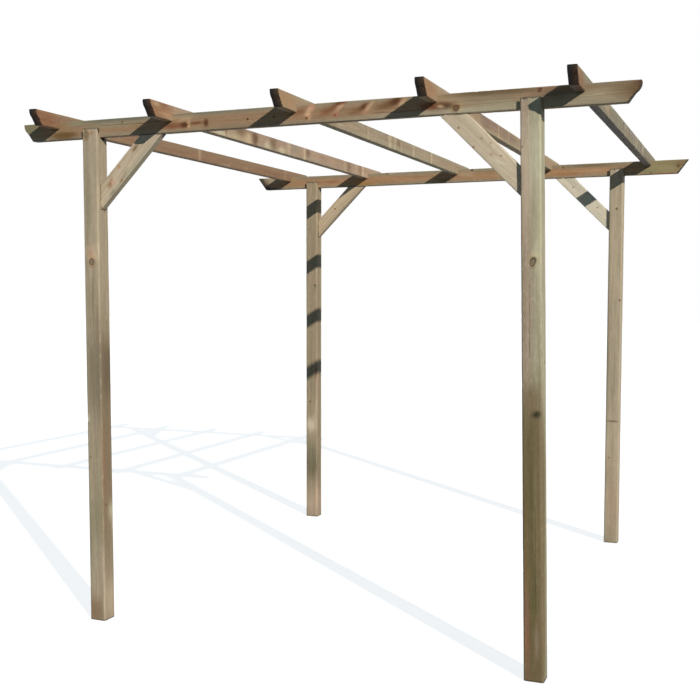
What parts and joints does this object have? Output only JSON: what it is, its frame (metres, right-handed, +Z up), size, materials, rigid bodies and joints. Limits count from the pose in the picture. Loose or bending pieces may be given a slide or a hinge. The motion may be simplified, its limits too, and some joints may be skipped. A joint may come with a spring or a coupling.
{
  "type": "garden pergola",
  "caption": "Free-standing open timber pergola: square posts slotted for cross beams, knee braces, and rafters with moulded ends notched over the beams.",
  "frame": {"origin": "on the floor, under the middle of the frame", "axes": "+X to the right along the main beams, +Y from front to rear along the rafters, +Z up"},
  "size_m": [3.31, 3.4202, 2.763],
  "materials": {
    "post_timber": "planed treated softwood, rounded arrises, weathered grey-green tan",
    "beam_timber": "planed treated softwood, brown heart with pale sapwood edges and large knots",
    "rafter_timber": "planed treated softwood, pinkish tan with dark moulded ends",
    "brace_timber": "planed treated softwood, pale cream tan with small knots"
  },
  "bodies": {
    "root": {"beam_front": "beam_timber", "beam_rear": "beam_timber", "brace_front_left": "brace_timber", "brace_front_right": "brace_timber", "brace_rear_left": "brace_timber", "brace_rear_right": "brace_timber", "post_front_left": "post_timber", "post_front_right": "post_timber", "post_rear_left": "post_timber", "post_rear_right": "post_timber", "rafter_1": "rafter_timber", "rafter_2": "rafter_timber", "rafter_3": "rafter_timber", "rafter_4": "rafter_timber", "rafter_5": "rafter_timber"}
  },
  "joints": []
}
